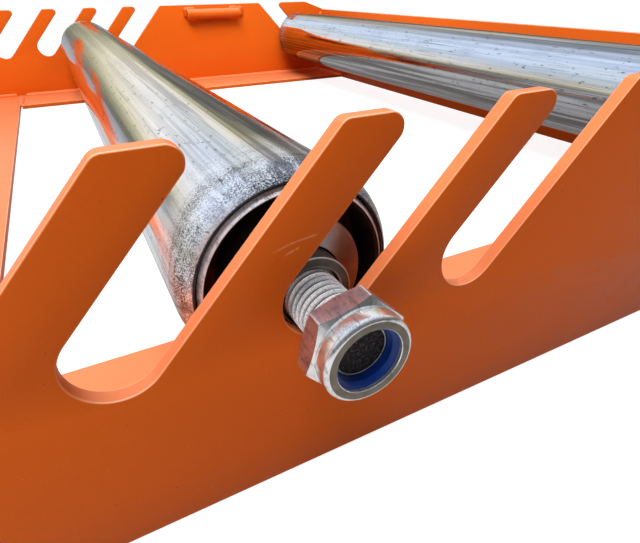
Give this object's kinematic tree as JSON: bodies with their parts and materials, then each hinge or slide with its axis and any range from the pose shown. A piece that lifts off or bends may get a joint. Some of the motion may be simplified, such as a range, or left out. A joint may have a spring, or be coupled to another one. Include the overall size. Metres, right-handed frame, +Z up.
{
  "type": "cable reel stand",
  "caption": "Low welded steel frame with two free-turning rollers in sloping slots, which carries a cable reel so that it can unwind.",
  "frame": {"origin": "centre of the footprint on the floor", "axes": "+Z up, +X along the side plates towards the end wall, +Y along the rollers towards the far side plate"},
  "size_m": [0.622, 0.856, 0.1215],
  "materials": {
    "orange_paint": "glossy orange powder coat",
    "zinc_drum": "zinc plated, streaked along the tube",
    "stud_steel": "grimy zinc, threaded ends",
    "bright_zinc": "bright zinc plate",
    "housing_steel": "zinc plated pressed steel",
    "cap_steel": "zinc plated pressed steel",
    "bearing_steel": "ground bearing steel",
    "spring_steel": "blued spring steel",
    "blue_nylon": "satin blue nylon"
  },
  "bodies": {
    "frame": {"front_plate": "orange_paint", "end_wall": "orange_paint", "base_welds": "orange_paint", "front_welds": "orange_paint", "end_wall_welds": "orange_paint", "grip_welds": "orange_paint", "near_side_plate": "orange_paint", "near_base_strip": "orange_paint", "near_grip_bar": "orange_paint", "far_side_plate": "orange_paint", "far_base_strip": "orange_paint", "far_grip_bar": "orange_paint"},
    "front_axle_set": {"front_axle": "stud_steel", "front_near_bearing_inner_race": "bearing_steel", "front_near_retaining_ring": "spring_steel", "front_near_spacer": "bright_zinc", "front_near_lock_nut": "bright_zinc", "front_near_nut_insert": "blue_nylon", "front_far_bearing_inner_race": "bearing_steel", "front_far_retaining_ring": "spring_steel", "front_far_spacer": "bright_zinc", "front_far_lock_nut": "bright_zinc", "front_far_nut_insert": "blue_nylon"},
    "front_drum_set": {"front_drum_tube": "zinc_drum", "front_near_bearing_housing": "housing_steel", "front_near_dust_cap": "cap_steel", "front_near_bearing_outer_race": "bearing_steel", "front_near_ball_cage": "bearing_steel", "front_far_bearing_housing": "housing_steel", "front_far_dust_cap": "cap_steel", "front_far_bearing_outer_race": "bearing_steel", "front_far_ball_cage": "bearing_steel"},
    "rear_axle_set": {"rear_axle": "stud_steel", "rear_near_bearing_inner_race": "bearing_steel", "rear_near_retaining_ring": "spring_steel", "rear_near_spacer": "bright_zinc", "rear_near_lock_nut": "bright_zinc", "rear_near_nut_insert": "blue_nylon", "rear_far_bearing_inner_race": "bearing_steel", "rear_far_retaining_ring": "spring_steel", "rear_far_spacer": "bright_zinc", "rear_far_lock_nut": "bright_zinc", "rear_far_nut_insert": "blue_nylon"},
    "rear_drum_set": {"rear_drum_tube": "zinc_drum", "rear_near_bearing_housing": "housing_steel", "rear_near_dust_cap": "cap_steel", "rear_near_bearing_outer_race": "bearing_steel", "rear_near_ball_cage": "bearing_steel", "rear_far_bearing_housing": "housing_steel", "rear_far_dust_cap": "cap_steel", "rear_far_bearing_outer_race": "bearing_steel", "rear_far_ball_cage": "bearing_steel"}
  },
  "joints": [
    {"name": "front_roller_lift", "type": "slide", "parent": "frame", "child": "front_axle_set", "axis": [0.682, 0, 0.7314], "range_m": [0, 0.088]},
    {"name": "front_drum_spin", "type": "hinge", "parent": "front_axle_set", "child": "front_drum_set", "pos_m": [-0.112, 0, 0.0673], "axis": [0, 1, 0], "continuous": true},
    {"name": "rear_roller_lift", "type": "slide", "parent": "frame", "child": "rear_axle_set", "axis": [-0.682, 0, 0.7314], "range_m": [0, 0.088]},
    {"name": "rear_drum_spin", "type": "hinge", "parent": "rear_axle_set", "child": "rear_drum_set", "pos_m": [0.247, 0, 0.0673], "axis": [0, 1, 0], "continuous": true}
  ]
}
